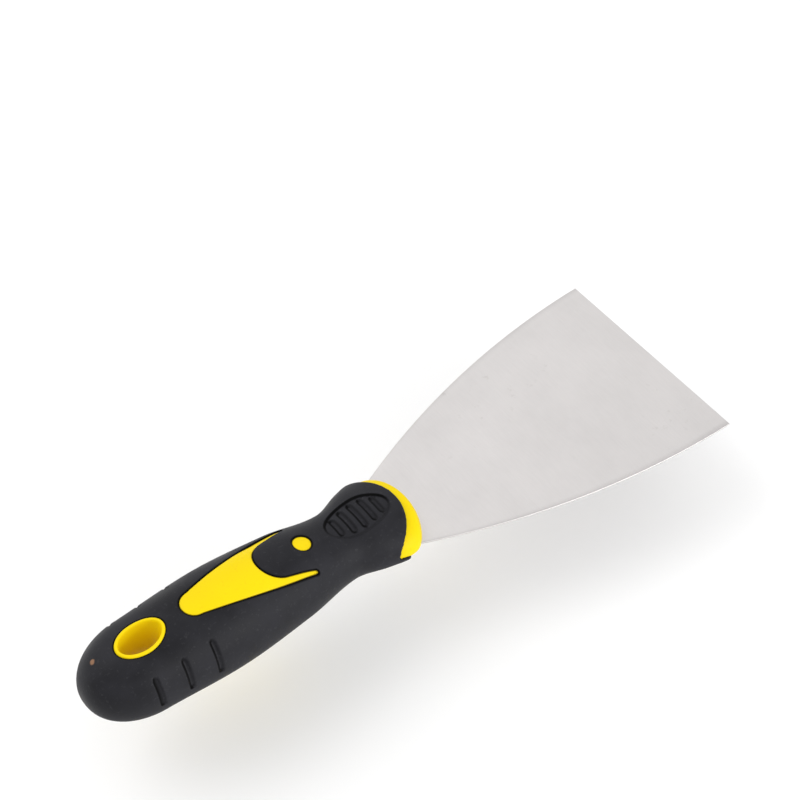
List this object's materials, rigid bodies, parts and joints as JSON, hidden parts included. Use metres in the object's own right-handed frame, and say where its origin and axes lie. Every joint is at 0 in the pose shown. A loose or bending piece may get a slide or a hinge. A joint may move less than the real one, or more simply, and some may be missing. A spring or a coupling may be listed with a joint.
{
  "type": "flexible putty knife",
  "caption": "Flexible putty knife: flared spring-steel blade in a hard yellow core with a soft black overmoulded grip, ribbed thumb pads and an oval hanging hole.",
  "frame": {"origin": "middle of the working edge, on the blade's mid-plane", "axes": "+X out of the working edge along the knife's length, +Y across the blade, +Z out of the blade's upper face"},
  "size_m": [0.2214, 0.075, 0.0283],
  "materials": {
    "blade_steel": "satin ground spring steel with faint mottling",
    "core_plastic": "smooth satin moulded yellow polypropylene",
    "grip_rubber": "fine matt black thermoplastic rubber"
  },
  "bodies": {
    "handle": {"handle_core": "core_plastic", "grip": "grip_rubber", "blade_tang": "blade_steel"},
    "blade": {"blade": "blade_steel"}
  },
  "joints": [
    {"name": "blade_flex", "type": "hinge", "parent": "handle", "child": "blade", "pos_m": [-0.0895, 0, 0], "axis": [0, 1, 0], "range_deg": [-20, 20], "stiffness_Nm_per_rad": 2.6}
  ]
}
